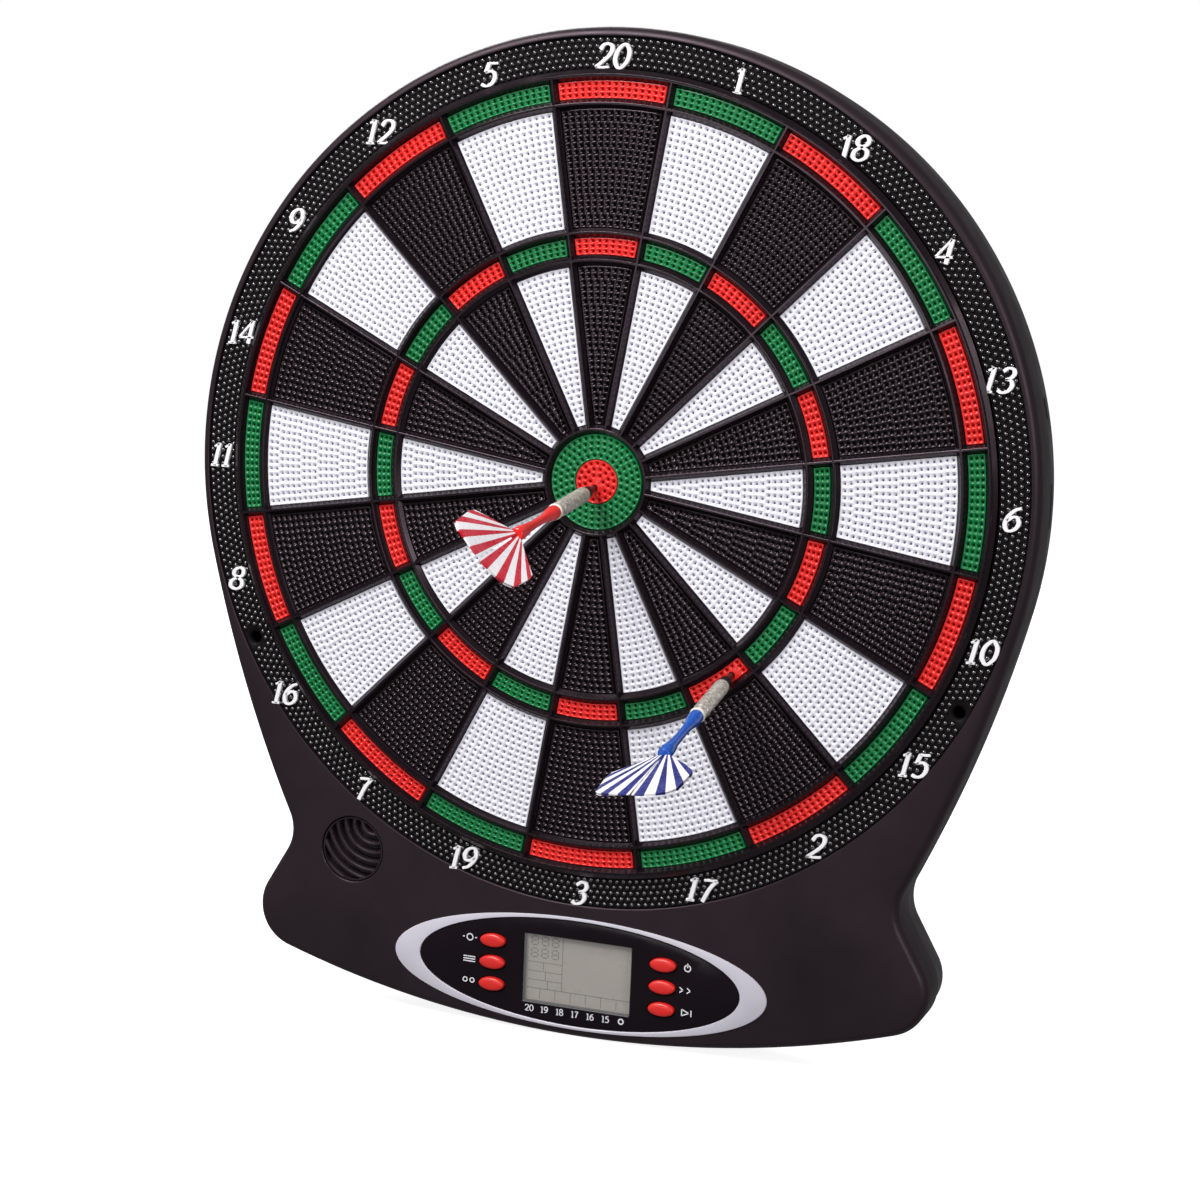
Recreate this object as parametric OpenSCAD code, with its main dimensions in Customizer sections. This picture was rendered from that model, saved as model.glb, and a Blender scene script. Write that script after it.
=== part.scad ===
// Electronic dartboard: a round target of sprung plastic segments over a console.
//
// Frame: the wall is the plane y = 0 and the target faces -Y. +Z is up and +X is the
// player's right. The origin lies on the wall, straight behind the centre of the bull.
// Depths are measured from the wall, so a depth of d lies at y = -d.
// Flat outlines are drawn as [x, z]. Angles run clockwise from the top.

/* [Housing] */
// Radius of the round upper part
body_r = 191; // [190.5:0.5:194]
// Radius of the long curve from the round part down to the waist
shoulder_r = 600; // [500:10:700]
// Radius of the hollow curve at the waist
waist_r = 18; // [14:1:20]
// Radius of each foot's corner
foot_r = 20; // [17:1:22]
// Distance from the middle to each foot's corner centre
foot_x = 137; // [134:1:140]
// Radius of the curved bottom edge
bottom_r = 478; // [440:1:520]
// Distance from the bull down to the lowest point
drop = 247.5; // [247:0.5:250]
// Depth of the front face
face_depth = 36; // [36:0.1:36.5]
// Depth of the seam between the rear cover and the front housing
seam_depth = 16; // [15.5:0.1:16]
// Thickness of the moulded walls
wall_t = 2.4; // [2:0.1:2.5]

/* [Target] */
// Radius of the rib round the outside of the double ring
double_r = 170; // [169.5:0.1:170]
// Width of the ribs between the sectors
rib_w = 3.4; // [3:0.1:3.6]
// Gap between each segment and the ribs
segment_gap = 0.3; // [0.3:0.05:0.35]
// How far the segments sink when a dart lands
segment_travel = 1.2; // [0.8:0.1:1.2]
// Depth of the segments' faces
segment_depth = 36.2; // [36:0.1:36.6]
// Depth of the spider's ridges
spider_depth = 38.2; // [37.8:0.1:38.4]

/* [Console] */
// Half width of the bright surround
trim_a = 87.4; // [86:0.1:88]
// Half height of the bright surround
trim_b = 25.4; // [25:0.1:25.6]
// Half width of the dark console panel
panel_a = 75; // [74:0.1:76]
// Half height of the dark console panel
panel_b = 23.7; // [23.5:0.1:24]
// Height of the console's centre
console_z = -218; // [-218.5:0.1:-217.5]
// Visible width of the display
display_w = 50.5; // [49:0.1:52]
// Visible height of the display
display_h = 31; // [30:0.1:32]
// Sideways distance from the middle to the buttons
button_x = 40; // [39:0.1:41]
// Distance from one button to the next
button_pitch = 10; // [9.9:0.1:10.2]
// How far the buttons sink
button_travel = 1.2; // [0.8:0.1:1.2]

/* [Darts] */
// How far a dart's tip goes into its segment
dart_bite = 7; // [6:0.5:8]
// Downward tilt of the dart in the bull
red_droop = 7; // [4:1:10]
// Downward tilt of the dart in the triple
blue_droop = 12; // [8:1:16]

/* [Hidden] */
NUMBERS = ["20", "01", "18", "04", "13", "06", "10", "15", "02", "17",
           "03", "19", "07", "16", "08", "11", "14", "09", "12", "05"];
$fn = 96;

black = [0.16, 0.14, 0.15];
jet = [0.08, 0.07, 0.08];
white = [0.93, 0.94, 0.97];
red = [0.85, 0.14, 0.12];
green = [0.02, 0.45, 0.24];
blue = [0.12, 0.25, 0.65];
silver = [0.78, 0.78, 0.84];
steel = [0.7, 0.7, 0.68];

eps = 0.01;
far = 400;
seam_gap = 0.1;

// Housing
shoulder_angle = 103.5;
waist_angle = 115.5;
face_t = 2.5;
rear_inset = 1.5;
ring_hole_r = 187;
ledge_front = 31;
ledge_back = 29.3;
ledge_r = 174;
edge_steps = [[32.5, 34.5, 1.2], [34.5, face_depth, 3]];

// Target rings, from the bull outwards
bull_r = 9.4;
outer_bull_r = 20.6;
triple_in = 96.4;
triple_out = 103.4;
double_in = 161.3;
double_out = 168.6;
single_in = 24.7;
rim_w = 3;
RINGS = [[single_in, triple_in - 4.8], [triple_in, triple_out],
         [triple_out + 4.4, double_in - 4.3], [double_in, double_out]];
spider_back = 27;
flange_front = 26.7;
flange_back = 24.2;
flange_w = 1.1;
bull_flange_front = 25.3;

// Stack behind the target
pad_front = 22.7;
pad_back = 21.7;
membrane_back = 21.2;
plate_back = 18;
pad_r = 172;
plate_r = 181;
clamp_r = 177;
clamp_angles = [for (k = [0:7]) 22.5 + 45 * k];

// Wall fixings
wall_screw_r = 2.6;
wall_screw_x = 162.3;
wall_screw_z = -83.5;
wall_tube_r = 5;
keyhole_r = 4.5;
keyhole_slot_w = 4.4;
keyhole_x = 57;
keyhole_z = 118;
keyhole_rise = 9;

// Speaker
speaker_c = [-110.5, -175.4];
grille_r = 13.2;
grille_c = [11, 13];
slot_r = 4.5;
slot_pitch = 4.4;
slot_w = 1.8;
speaker_r = 14.2;

// Console stack
trim_front = 36.7;
panel_front = 36.4;
panel_back = 31;
panel_rim = 3;
panel_rim_h = 2.2;
window_lip = 2.4;
board_front = 26.2;
board_back = 24.6;
post_x = 56;
post_z = 13;
button_a = 6.1;
button_b = 3.3;
button_front = 38.2;
button_back = 29.7;

// Battery box
cell_r = 7.1;
cell_pitch = 15.2;
box_x = 29.4;
box_z = -210.5;
box_h = 47;
box_front = 17.5;
door_gap = 0.4;
door_t = 2;
door_axis_depth = 1.2;

// Housing screws
ring_boss_r = 184.9;
ring_boss_angles = [0, 45, 90, 270, 315];
low_bosses = [[134, -206], [84, -229], [148, -131]];

// Darts
red_tip = [-0.8, -2.6];
blue_tip = [64.5, -77.3];
tip_len = 19;
barrel_len = 33;
shaft_len = 42.9;
flight_start = 95;
flight_len = 39;
flight_w = 18;
wing_open = 3;
red_wings = [135, 315];
blue_wings = [194, 6];

function dir(a) = [sin(a), cos(a)];
function bearing(v) = atan2(v[0], v[1]);
function ellipse_points(a, b, n = 72) = [for (k = [0:n - 1]) [a * cos(360 * k / n), b * sin(360 * k / n)]];
function screw_places() = concat([for (a = ring_boss_angles) ring_boss_r * dir(a)],
                                 [for (p = low_bosses) p], [for (p = low_bosses) [-p[0], p[1]]]);

// Stretches an outline from depth d0 to depth d1
module slab(d0, d1) {
    translate([0, -d0, 0]) rotate([90, 0, 0]) linear_extrude(d1 - d0) children();
}

module both_sides() {
    children();
    mirror([1, 0]) children();
}

module ring(r_in, r_out) {
    difference() {
        circle(r = r_out);
        circle(r = r_in);
    }
}

module ellipse(a, b) {
    translate([0, console_z]) polygon(ellipse_points(a, b));
}

// Outline of the whole board, drawn inset from its edge
module outline(inset = 0) {
    shoulder_c = (body_r - shoulder_r) * dir(shoulder_angle);
    waist_c = shoulder_c + (shoulder_r + waist_r) * dir(waist_angle);
    bottom_c = [0, bottom_r - drop];
    foot_c = [foot_x, bottom_c[1] - sqrt(pow(bottom_r - foot_r, 2) - pow(foot_x, 2))];
    reach = waist_c - foot_c;
    lean = bearing(reach) + acos((foot_r + waist_r) / norm(reach));
    shoulder_top = (body_r - inset) * dir(shoulder_angle);
    neck = waist_c - (waist_r + inset) * dir(waist_angle);
    hip = waist_c - (waist_r + inset) * dir(lean);
    ankle = foot_c + (foot_r - inset) * dir(lean);
    toe = bottom_c + (bottom_r - inset) * dir(bearing(foot_c - bottom_c));
    difference() {
        union() {
            circle(r = body_r - inset, $fn = 180);
            intersection() {
                translate(shoulder_c) circle(r = shoulder_r - inset, $fn = 360);
                mirror([1, 0]) translate(shoulder_c) circle(r = shoulder_r - inset, $fn = 360);
                translate([-far / 2, neck[1]]) square([far, shoulder_top[1] - neck[1]]);
            }
            intersection() {
                translate(bottom_c) circle(r = bottom_r - inset, $fn = 360);
                both_sides() polygon([[-eps, neck[1] + 40], neck, hip, ankle, toe, [toe[0], -far], [-eps, -far]]);
            }
            both_sides() translate(foot_c) circle(r = foot_r - inset);
        }
        both_sides() translate(waist_c) circle(r = waist_r + inset);
    }
}

// Curved louvre slots of the speaker grille
module grille_slots() {
    translate(speaker_c) intersection() {
        circle(r = grille_r);
        for (k = [0:5]) translate(grille_c) ring(slot_r + slot_pitch * k, slot_r + slot_pitch * k + slot_w);
    }
}

module front_housing() {
    color(black) difference() {
        union() {
            difference() {
                union() {
                    slab(seam_depth + seam_gap, edge_steps[0][0]) outline();
                    for (s = edge_steps) slab(s[0] - eps, s[1]) outline(s[2]);
                }
                slab(0, face_depth - face_t) outline(wall_t);
                slab(0, far) circle(r = ring_hole_r);
                slab(0, far) ellipse(panel_a + 0.3, panel_b + 0.3);
                slab(0, far) grille_slots();
            }
            slab(ledge_back, ledge_front) intersection() {
                ring(ledge_r, body_r);
                outline(wall_t / 2);
            }
            slab(ledge_back, face_depth - face_t + eps) intersection() {
                ring(ring_hole_r, ring_hole_r + 2);
                outline(wall_t / 2);
            }
            slab(29, face_depth - face_t + eps) translate(speaker_c) ring(speaker_r + 0.4, speaker_r + 2.4);
            for (x = [-wall_screw_x, wall_screw_x])
                slab(seam_depth + seam_gap, ledge_front) translate([x, wall_screw_z]) circle(r = wall_tube_r);
            for (p = screw_places())
                slab(seam_depth + seam_gap, norm(p) < body_r ? ledge_back + eps : face_depth - face_t + eps)
                    translate(p) circle(r = 3.3);
        }
        for (x = [-wall_screw_x, wall_screw_x])
            slab(0, far) translate([x, wall_screw_z]) circle(r = wall_screw_r);
        for (p = screw_places())
            slab(seam_depth, 28) translate(p) circle(r = 1.4);
    }
}

module rear_cover() {
    color(black) difference() {
        union() {
            difference() {
                slab(0, seam_depth - seam_gap) outline(rear_inset);
                slab(wall_t, far) outline(rear_inset + wall_t);
            }
            for (x = [-wall_screw_x, wall_screw_x])
                slab(0, seam_depth - seam_gap) translate([x, wall_screw_z]) circle(r = wall_tube_r);
            for (p = screw_places())
                slab(0, seam_depth - seam_gap) translate(p) circle(r = norm(p) < body_r ? 4.2 : 5);
            slab(0, box_front + 1.5) translate([-box_x - 2, box_z - box_h / 2 - 2]) square([2 * box_x + 4, box_h + 4]);
            for (x = [-keyhole_x, keyhole_x])
                slab(0, wall_t + 3) translate([x, keyhole_z]) ring(keyhole_r + 6, keyhole_r + 8);
        }
        slab(-eps, box_front) translate([-box_x, box_z - box_h / 2]) square([2 * box_x, box_h]);
        translate([0, -door_axis_depth, door_axis_z()]) rotate([0, 90, 0])
            cylinder(r = 1.15, h = 2 * box_x + 2.6, center = true);
        for (x = [-keyhole_x, keyhole_x]) translate([x, 0, 0]) slab(-eps, wall_t + eps) {
            translate([0, keyhole_z]) circle(r = keyhole_r);
            translate([-keyhole_slot_w / 2, keyhole_z]) square([keyhole_slot_w, keyhole_rise]);
            translate([0, keyhole_z + keyhole_rise]) circle(r = keyhole_slot_w / 2);
        }
        for (x = [-wall_screw_x, wall_screw_x])
            slab(-eps, far) translate([x, wall_screw_z]) circle(r = wall_screw_r);
        for (p = screw_places()) {
            slab(-eps, 8) translate(p) circle(r = 3.1);
            slab(0, far) translate(p) circle(r = 1.7);
        }
    }
}

module catch_ring() {
    color(jet) difference() {
        slab(ledge_front + 0.1, 34.5) ring(173.7, ring_hole_r - 0.3);
        for (x = [-wall_screw_x, wall_screw_x])
            slab(0, far) translate([x, wall_screw_z]) circle(r = wall_screw_r);
    }
}

module spider() {
    color(jet) difference() {
        union() {
            slab(spider_back, spider_depth) {
                ring(outer_bull_r + segment_gap, single_in - segment_gap);
                for (k = [0:2]) ring(RINGS[k][1] + segment_gap, RINGS[k + 1][0] - segment_gap);
                ring(double_out + segment_gap, double_r + segment_gap + rim_w);
                for (k = [0:19]) rotate(9 + 18 * k)
                    translate([-rib_w / 2, outer_bull_r + 2]) square([rib_w, double_r - outer_bull_r]);
            }
            slab(spider_back, 29) ring(double_r + 1, plate_r);
            slab(membrane_back + 0.1, spider_back + eps)
                for (a = clamp_angles) translate(clamp_r * dir(a)) circle(r = 3);
        }
        for (x = [-wall_screw_x, wall_screw_x])
            slab(0, far) translate([x, wall_screw_z]) circle(r = wall_tube_r + 0.5);
        slab(0, 28) for (a = clamp_angles) translate(clamp_r * dir(a)) circle(r = 1.4);
    }
}

module silicone_pad() {
    color(white) slab(pad_back + eps, pad_front) circle(r = pad_r);
}

module switch_membrane() {
    color([0.75, 0.7, 0.5]) slab(membrane_back + eps, pad_back) circle(r = pad_r);
}

// Flat tail that carries the switch lines from the membrane to the board
module membrane_tail() {
    low = console_z + 19;
    color([0.8, 0.5, 0.2]) translate([-14, 0, 0]) rotate([90, 0, 90]) linear_extrude(28)
        polygon([[-pad_back + eps, -pad_r - 0.1], [-membrane_back - eps, -pad_r - 0.1],
                 [-membrane_back - eps, -188], [-board_back + 0.6, low], [-board_back + 0.6, low - 9],
                 [-board_back + 0.1, low - 9], [-board_back + 0.1, low], [-pad_back + eps, -188]]);
}

module backing_plate() {
    color([0.45, 0.32, 0.2]) difference() {
        slab(plate_back, membrane_back) circle(r = plate_r);
        for (x = [-wall_screw_x, wall_screw_x])
            slab(0, far) translate([x, wall_screw_z]) circle(r = wall_tube_r + 0.5);
        for (a = clamp_angles) slab(0, far) translate(clamp_r * dir(a)) circle(r = 1.7);
    }
}

// Flat outline of one segment, between two ribs and two rings
module wedge(r_in, r_out, grow = 0) {
    clear = rib_w / 2 + segment_gap - grow;
    apex = [0, clear / sin(9)];
    intersection() {
        ring(r_in - grow, r_out + grow);
        polygon([apex, apex + far * dir(9), apex + far * dir(-9)]);
    }
}

// The four segments of one number: inner single, triple, outer single and double
module sector(k) {
    tint = (k % 2 == 0) ? jet : white;
    bonus = (k % 2 == 0) ? red : green;
    difference() {
        for (r = [0:3]) color(r % 2 == 0 ? tint : bonus) rotate([0, 18 * k, 0]) {
            slab(flange_front - eps, segment_depth) wedge(RINGS[r][0], RINGS[r][1]);
            slab(flange_back, flange_front) wedge(RINGS[r][0], RINGS[r][1], flange_w);
        }
        if (NUMBERS[k] == "02") dart_bore(blue_tip, blue_droop);
    }
}

module outer_bull() {
    color(green) {
        slab(flange_front - eps, segment_depth) ring(bull_r + 0.3, outer_bull_r);
        slab(flange_back, flange_front) ring(12.5, outer_bull_r + flange_w);
    }
}

module inner_bull() {
    color(red) difference() {
        union() {
            slab(flange_back, segment_depth) circle(r = bull_r);
            slab(flange_back, bull_flange_front) circle(r = 11.9);
        }
        dart_bore(red_tip, red_droop);
    }
}

module console_trim() {
    color(silver) slab(face_depth + 0.05, trim_front) difference() {
        ellipse(trim_a, trim_b);
        ellipse(panel_a + 0.3, panel_b + 0.3);
    }
}

// Centre of the button in a column (-1 or 1) and row (0 at the top)
function button_place(side, row) = [side * button_x, console_z + button_pitch * (1 - row)];

module console_panel() {
    color(jet) difference() {
        union() {
            slab(panel_back, panel_front) ellipse(panel_a, panel_b);
            slab(panel_back, 33.3) ellipse(panel_a + panel_rim, panel_b + panel_rim_h);
            slab(board_front + 0.1, panel_back + eps) post_places() circle(r = 2.6);
        }
        for (side = [-1, 1]) for (row = [0:2])
            slab(0, far) translate(button_place(side, row))
                polygon(ellipse_points(button_a + 0.35, button_b + 0.35, 36));
        slab(0, far) translate([-display_w / 2, console_z - display_h / 2]) square([display_w, display_h]);
        slab(0, 34.8) display_field(window_lip + 0.3);
        slab(0, 30) post_places() circle(r = 1.2);
    }
}

module post_places() {
    for (x = [-post_x, post_x]) for (z = [-post_z, post_z]) translate([x, console_z + z]) children();
}

// Rectangle of the display, grown by a margin on every side
module display_field(margin) {
    translate([-display_w / 2 - margin, console_z - display_h / 2 - margin])
        square([display_w + 2 * margin, display_h + 2 * margin]);
}

module display_window() {
    color([0.7, 0.75, 0.75, 0.4]) {
        slab(33.6, 34.6) display_field(window_lip);
        slab(34.6 - eps, 36.2) display_field(-0.2);
    }
}

module display_glass() {
    color([0.62, 0.63, 0.58]) slab(31.4, 33.4) display_field(2);
}

module display_frame() {
    color(jet) difference() {
        slab(27.6, 31.2) display_field(2.2);
        slab(29, 32) display_field(-1);
    }
}

module keypad_mat() {
    color([0.8, 0.8, 0.78]) {
        slab(board_front + 0.1, 27.4) difference() {
            translate([-50, console_z - 17.8]) square([100, 35.6]);
            display_field(3);
        }
        for (side = [-1, 1]) for (row = [0:2])
            slab(27.4 - eps, 28.2) translate(button_place(side, row)) circle(r = 2.6);
    }
}

module main_board() {
    color([0.1, 0.4, 0.2]) difference() {
        slab(board_back, board_front) translate([-60, console_z - 19.5]) square([120, 38.5]);
        slab(0, far) post_places() circle(r = 1.5);
    }
    color(jet) slab(22.6, board_back + eps) translate([-34, console_z - 13]) square([14, 14]);
}

module button(side, row) {
    color(red) {
        slab(button_back, button_back + 1)
            translate(button_place(side, row)) polygon(ellipse_points(button_a + 1.4, button_b + 1.2, 36));
        slab(button_back + 1 - eps, button_front)
            translate(button_place(side, row)) polygon(ellipse_points(button_a, button_b, 36));
    }
}

module speaker() {
    color(steel) {
        slab(26, 31.5) translate(speaker_c) ring(11.5, speaker_r);
        slab(25, 27) translate(speaker_c) circle(r = 12);
        slab(20, 25 + eps) translate(speaker_c) circle(r = 8);
    }
}

module speaker_leads() {
    color(red) for (z = [0, 3]) slab(23.4, 24.5)
        polygon([[-98.2, -179 - z], [-80, -186 - z], [-66, -207 - z], [-59, -207 - z], [-59, -208.1 - z],
                 [-66.6, -208.1 - z], [-80.8, -187 - z], [-98.2, -180.2 - z]]);
}

module cell_places() {
    for (k = [-1:1]) translate([0, -10, box_z + cell_pitch * k]) mirror([(k + 1) % 2, 0, 0])
        rotate([0, 90, 0]) children();
}

module battery_cells() {
    color(blue) cell_places() {
        translate([0, 0, -24.6]) cylinder(r = cell_r, h = 49.2);
        translate([0, 0, 24.6 - eps]) cylinder(r = 2.7, h = 1.3);
    }
}

module battery_contacts() {
    color(steel) cell_places() {
        translate([-5, -5, box_x - 0.7]) cube([10, 10, 0.6]);
        translate([-5, -5, 0.1 - box_x]) cube([10, 10, 0.6]);
        for (k = [0:2]) translate([0, 0, 0.9 - box_x + 1.2 * k]) rotate_extrude()
            translate([4.6 - 0.8 * k, 0.3]) circle(r = 0.5, $fn = 24);
    }
}

function door_axis_z() = box_z - box_h / 2 + door_gap + 1;

module battery_door() {
    top = box_z + box_h / 2 - door_gap;
    color(black) {
        translate([door_gap - box_x, -door_axis_depth - door_t / 2, door_axis_z()])
            cube([2 * (box_x - door_gap), door_t, top - door_axis_z()]);
        translate([0, -door_axis_depth, door_axis_z()]) rotate([0, 90, 0])
            cylinder(r = 1, h = 2 * box_x + 2, center = true);
    }
}

// A screw seen from its head, driven towards -Y from depth d
module screw(p, d, reach, head_r = 2.8, shank_r = 1.25) {
    translate([p[0], -d, p[1]]) rotate([90, 0, 0]) {
        cylinder(r = head_r, h = 1.6);
        cylinder(r = shank_r, h = reach);
    }
}

module housing_screws() {
    color(steel) for (p = screw_places()) screw(p, 6.3, 20);
}

module plate_screws() {
    color(steel) for (a = clamp_angles) screw(clamp_r * dir(a), plate_back - 1.7, 11);
}

module board_screws() {
    color(steel) for (x = [-post_x, post_x]) for (z = [-post_z, post_z])
        screw([x, console_z + z], board_back - 1.7, 5, 2.4, 1.1);
}

// Places a dart that was drawn with its point at the origin and its tail towards -Y
module dart_at(tip, droop) {
    deep = segment_depth - dart_bite * cos(droop);
    translate([tip[0], -deep, tip[1] + dart_bite * sin(droop)]) rotate([droop, 0, 0]) children();
}

// Clearance hole that a dart's tip leaves in a segment
module dart_bore(tip, droop) {
    dart_at(tip, droop) translate([0, 1, 0]) rotate([90, 0, 0]) cylinder(r = 1.6, h = 20);
}

module dart_tip() {
    rotate([90, 0, 0]) {
        cylinder(r1 = 0.5, r2 = 1.2, h = dart_bite);
        translate([0, 0, dart_bite - eps]) cylinder(r1 = 1.2, r2 = 1.9, h = tip_len - dart_bite - 4);
        translate([0, 0, tip_len - 4 - 2 * eps]) cylinder(r = 2.7, h = 4);
    }
}

module dart_barrel() {
    rotate([90, 0, 0]) translate([0, 0, tip_len]) difference() {
        cylinder(r = 3.3, h = barrel_len);
        for (k = [0:2]) translate([0, 0, 2 + 15 * k]) difference() {
            cylinder(r = 4, h = 0.8);
            cylinder(r = 2.95, h = 0.8);
        }
    }
}

module dart_shaft() {
    rotate([90, 0, 0]) translate([0, 0, tip_len + barrel_len]) {
        cylinder(r1 = 3.1, r2 = 1.8, h = 14);
        cylinder(r = 1.8, h = shaft_len);
        translate([0, 0, 24]) cylinder(r1 = 1.8, r2 = 2.9, h = 14);
        translate([0, 0, 38 - eps]) cylinder(r = 2.9, h = shaft_len - 38);
    }
}

// Four thin vanes, folded together in two wings
module dart_flight(wings) {
    rotate([90, 0, 0]) for (wing = wings) for (a = [-wing_open, wing_open]) rotate(wing + a)
        rotate([90, 0, 0]) translate([0, 0, -0.2]) linear_extrude(0.4)
            polygon([[-0.5, flight_start], [2.2, flight_start], [flight_w - 0.8, flight_start + 14],
                     [flight_w, flight_start + 18], [flight_w - 0.3, flight_start + 33],
                     [flight_w - 4, flight_start + 36.5], [-0.5, flight_start + flight_len]]);
}

front_housing();
rear_cover();
catch_ring();
spider();
silicone_pad();
switch_membrane();
membrane_tail();
backing_plate();
outer_bull();
inner_bull();
for (k = [0:19]) sector(k);
console_trim();
console_panel();
display_window();
display_glass();
display_frame();
keypad_mat();
main_board();
button(-1, 0);  // game_button
button(-1, 1);  // option_button
button(-1, 2);  // player_button
button(1, 0);  // power_button
button(1, 1);  // double_button
button(1, 2);  // start_button
speaker();
speaker_leads();
battery_cells();
battery_contacts();
battery_door();
housing_screws();
plate_screws();
board_screws();
color(jet) dart_at(red_tip, red_droop) dart_tip();  // red_dart_tip
color(steel) dart_at(red_tip, red_droop) dart_barrel();  // red_dart_barrel
color(red) dart_at(red_tip, red_droop) dart_shaft();  // red_dart_shaft
color(white) dart_at(red_tip, red_droop) dart_flight(red_wings);  // red_dart_flight
color(jet) dart_at(blue_tip, blue_droop) dart_tip();  // blue_dart_tip
color(steel) dart_at(blue_tip, blue_droop) dart_barrel();  // blue_dart_barrel
color(blue) dart_at(blue_tip, blue_droop) dart_shaft();  // blue_dart_shaft
color(white) dart_at(blue_tip, blue_droop) dart_flight(blue_wings);  // blue_dart_flight
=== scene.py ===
import math

import bpy
import numpy as np
from mathutils import Matrix, Vector
from mathutils.geometry import delaunay_2d_cdt


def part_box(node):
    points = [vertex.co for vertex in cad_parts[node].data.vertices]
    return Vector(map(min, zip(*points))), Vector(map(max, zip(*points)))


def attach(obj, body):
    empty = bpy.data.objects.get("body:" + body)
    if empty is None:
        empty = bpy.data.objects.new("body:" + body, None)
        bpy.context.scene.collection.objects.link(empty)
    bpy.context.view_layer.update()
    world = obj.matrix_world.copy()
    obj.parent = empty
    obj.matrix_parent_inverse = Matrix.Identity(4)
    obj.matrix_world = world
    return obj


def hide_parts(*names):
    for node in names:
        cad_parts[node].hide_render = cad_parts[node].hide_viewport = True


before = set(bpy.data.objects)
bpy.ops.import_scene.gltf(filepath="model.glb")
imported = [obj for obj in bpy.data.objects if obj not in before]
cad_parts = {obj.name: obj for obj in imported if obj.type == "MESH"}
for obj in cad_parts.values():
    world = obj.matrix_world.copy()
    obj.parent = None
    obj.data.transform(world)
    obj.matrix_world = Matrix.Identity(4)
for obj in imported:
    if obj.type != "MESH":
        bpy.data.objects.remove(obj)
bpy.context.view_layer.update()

# The looks of an electronic dartboard. Sizes are in millimetres until a piece is made.
# Flat shapes are [x, z] points, and depth is the distance in front of the wall, so a point
# lies at (x, -depth, z). Angles are in degrees, clockwise from the top of the board.
MM = 0.001


def front_of(node):
    """Depth of a CAD node's front face."""
    return -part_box(node)[0].y / MM


def back_of(node):
    """Depth of a CAD node's rear face."""
    return -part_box(node)[1].y / MM


# ---- Driving sizes ----

NUMBERS = [20, 1, 18, 4, 13, 6, 10, 15, 2, 17, 3, 19, 7, 16, 8, 11, 14, 9, 12, 5]
SECTOR = 360 / len(NUMBERS)

BODY_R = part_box("front_housing")[1].z / MM
DROP = -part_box("front_housing")[0].z / MM
FACE = front_of("front_housing")
SEAM = 16
WALL = 2.4
REAR_INSET = 1.5
SHOULDER_R = 600
SHOULDER_ANGLE = 103.5
WAIST_ANGLE = 115.5
WAIST_R = 18
FOOT_R = 20
FOOT_X = 137
BOTTOM_R = 478
RIM_HOLE_R = 187

SEGMENT_TOP = front_of("outer_bull")
RIDGE_TOP = front_of("spider")
STUD_FLOOR = front_of("catch_ring")
BULL_R = 9.4
OUTER_BULL = (9.7, 20.6)
RINGS = ((24.7, 91.6), (96.4, 103.4), (107.8, 157), (161.3, 168.6))
RING_ROWS = (25, 3, 18, 3)
RIDGES = (22.65, 94, 105.6, 159.15, 170.6)
WEB_R = 173.3
RIB_HALF = 1.7
GAP = 0.3
HOLE_PITCH = 2.95
RIM_R = (173.7, 186.7)

WALL_SCREWS = ((-162.3, -83.5), (162.3, -83.5))
SPEAKER = (-110.5, -175.4)
SPEAKER_R = 14.6
RIPPLE_C = (SPEAKER[0] + 9.5, SPEAKER[1] + 12.5)

CONSOLE_Z = -218
TRIM = (87.4, 25.4)
PANEL = (75, 23.7)
PANEL_TOP = front_of("console_panel")
TRIM_TOP = front_of("console_trim")
DISPLAY = (50.5, 31)
BUTTON_X = 40
BUTTON_PITCH = 10
BUTTON = (6.0, 3.0)
BUTTONS = {"game_button": (-1, 0), "option_button": (-1, 1), "player_button": (-1, 2),
           "power_button": (1, 0), "double_button": (1, 1), "start_button": (1, 2)}

KEYHOLES = ((-57, 118), (57, 118))
BATTERY_X = 29.4
BATTERY_Z = (-234, -187)
BATTERY_DEPTH = 17.5

TIP_LEN = 19
BARREL_LEN = 33
SHAFT_LEN = 42.9
FLIGHT_START = 95
FLIGHT_LEN = 39
FLIGHT_W = 18
BITE = 7
DARTS = {"red": ((-0.8, -2.6), 7, (135, 315)), "blue": ((64.5, -77.3), 12, (256, 84))}


# ---- Flat shapes ----

def aim(angle):
    """Unit vector at an angle clockwise from the top."""
    a = np.radians(angle)
    return np.stack([np.sin(a), np.cos(a)], -1)


def bearing(v):
    return math.degrees(math.atan2(v[0], v[1]))


def turn(points, angle):
    """Points turned clockwise about the bull."""
    c, s = math.cos(math.radians(angle)), math.sin(math.radians(angle))
    return np.stack([points[:, 0] * c + points[:, 1] * s, points[:, 1] * c - points[:, 0] * s], -1)


def circle(r, centre=(0, 0), n=64):
    return np.array(centre) + r * aim(-np.arange(n) * 360 / n)


def ellipse(a, b, centre=(0, CONSOLE_Z), n=96):
    return np.array(centre) + aim(-np.arange(n) * 360 / n) * (a, b)


def box_loop(x0, x1, z0, z1, r=0.6, n=5):
    """Rectangle with rounded corners."""
    corners = ((x1 - r, z1 - r, 90), (x0 + r, z1 - r, 0), (x0 + r, z0 + r, -90), (x1 - r, z0 + r, -180))
    return np.concatenate([(x, z) + r * aim(start - np.linspace(0, 90, n)) for x, z, start in corners])


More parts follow.
